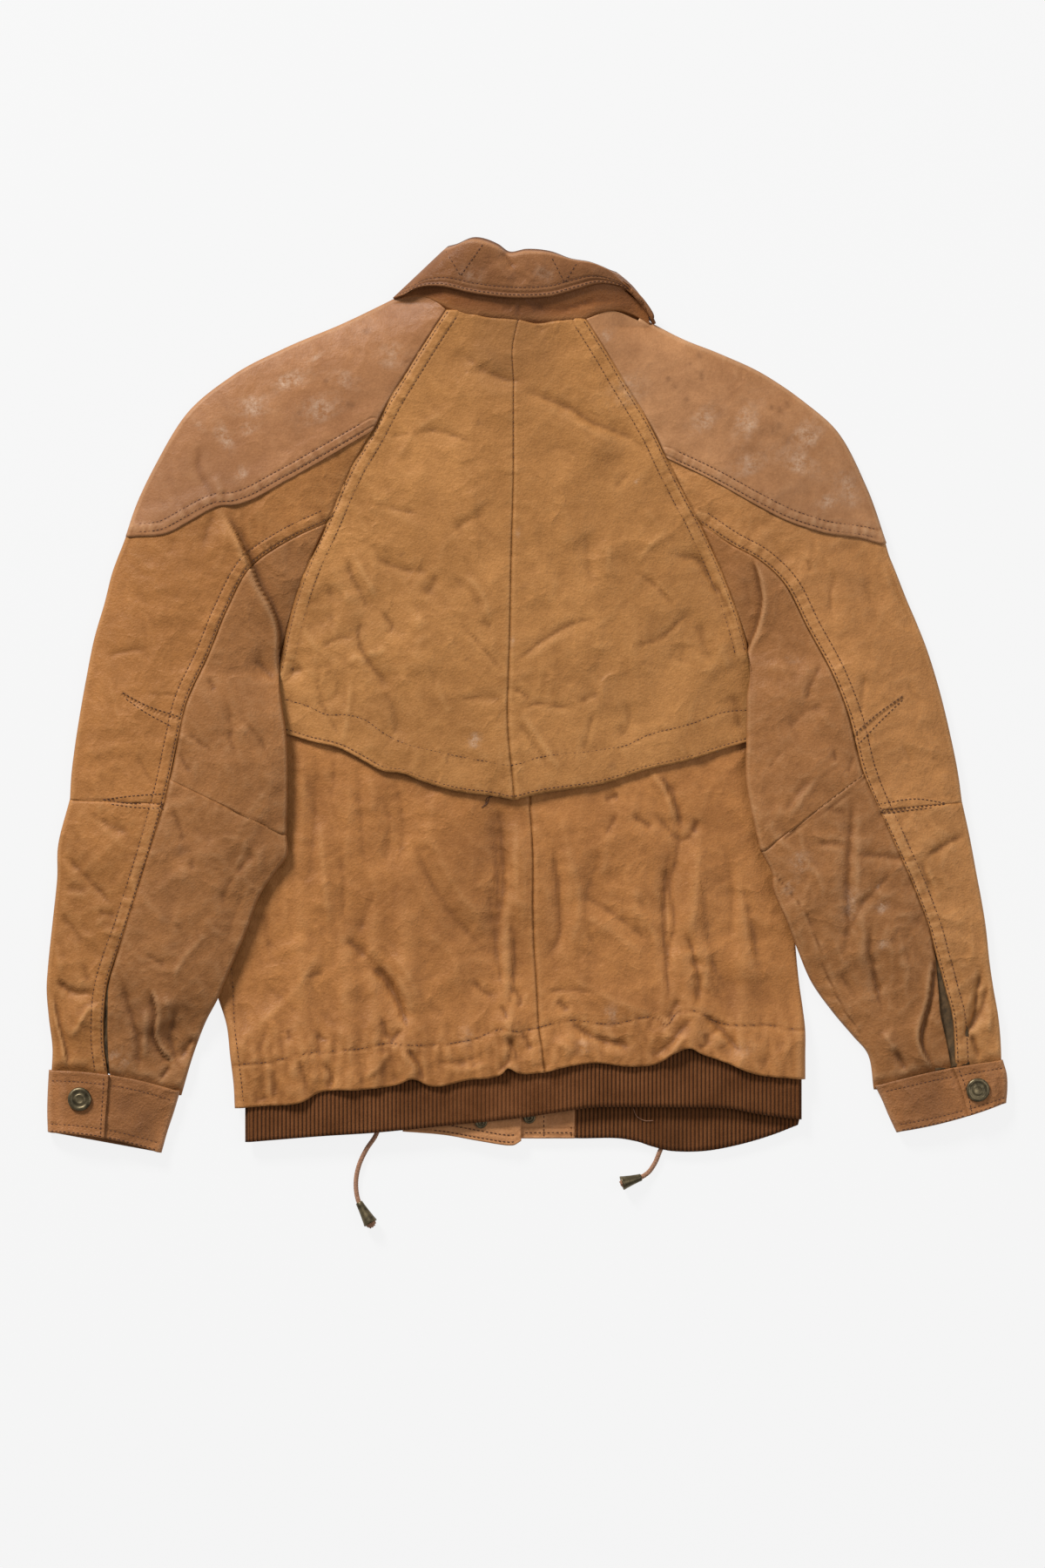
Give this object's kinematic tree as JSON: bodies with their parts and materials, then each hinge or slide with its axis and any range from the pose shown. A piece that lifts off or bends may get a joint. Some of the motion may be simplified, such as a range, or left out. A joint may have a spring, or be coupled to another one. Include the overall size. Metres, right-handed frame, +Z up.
{
  "type": "worn leather jacket laid flat",
  "caption": "Hip-length tan leather jacket laid flat with its back up: loose back cape, shoulder patches, raglan sleeves with snapped cuffs, turned collar, drawstring hem and knit band.",
  "frame": {"origin": "middle of the sewn pieces' bounds, on the surface that the jacket lies on", "axes": "+X across the back towards the wearer's right sleeve, +Y towards the collar, +Z up out of the back"},
  "size_m": [0.827, 0.8498, 0.0357],
  "materials": {
    "tan_leather": "worn satin",
    "shoulder_leather": "scuffed satin",
    "antique_brass": "antique",
    "lining_cloth": "matt",
    "rib_knit": "matt",
    "cord_cloth": "matt"
  },
  "bodies": {
    "root": {"shoulder_patch_left": "shoulder_leather", "shoulder_patch_right": "shoulder_leather", "sleeve_outer_upper_left": "tan_leather", "sleeve_outer_upper_right": "tan_leather", "sleeve_outer_lower_left": "tan_leather", "sleeve_outer_lower_right": "tan_leather", "sleeve_inner_upper_left": "tan_leather", "sleeve_inner_upper_right": "tan_leather", "sleeve_inner_lower_left": "tan_leather", "sleeve_inner_lower_right": "tan_leather", "sleeve_front_left": "tan_leather", "sleeve_front_right": "tan_leather", "cape_left": "tan_leather", "cape_right": "tan_leather", "lower_back_left": "tan_leather", "lower_back_right": "tan_leather", "front_left": "tan_leather", "front_right": "tan_leather", "collar_stand": "tan_leather", "collar_leaf": "tan_leather", "cuff_left": "tan_leather", "cuff_right": "tan_leather", "tab_left": "tan_leather", "tab_right": "tan_leather", "snap_cuff_left": "antique_brass", "snap_cuff_right": "antique_brass", "snap_tab_left": "antique_brass", "snap_tab_right": "antique_brass", "slit_lining_left": "lining_cloth", "slit_lining_right": "lining_cloth", "rib_band": "rib_knit", "cord_left": "cord_cloth", "cord_right": "cord_cloth", "cord_end_left": "antique_brass", "cord_end_right": "antique_brass"}
  },
  "joints": []
}
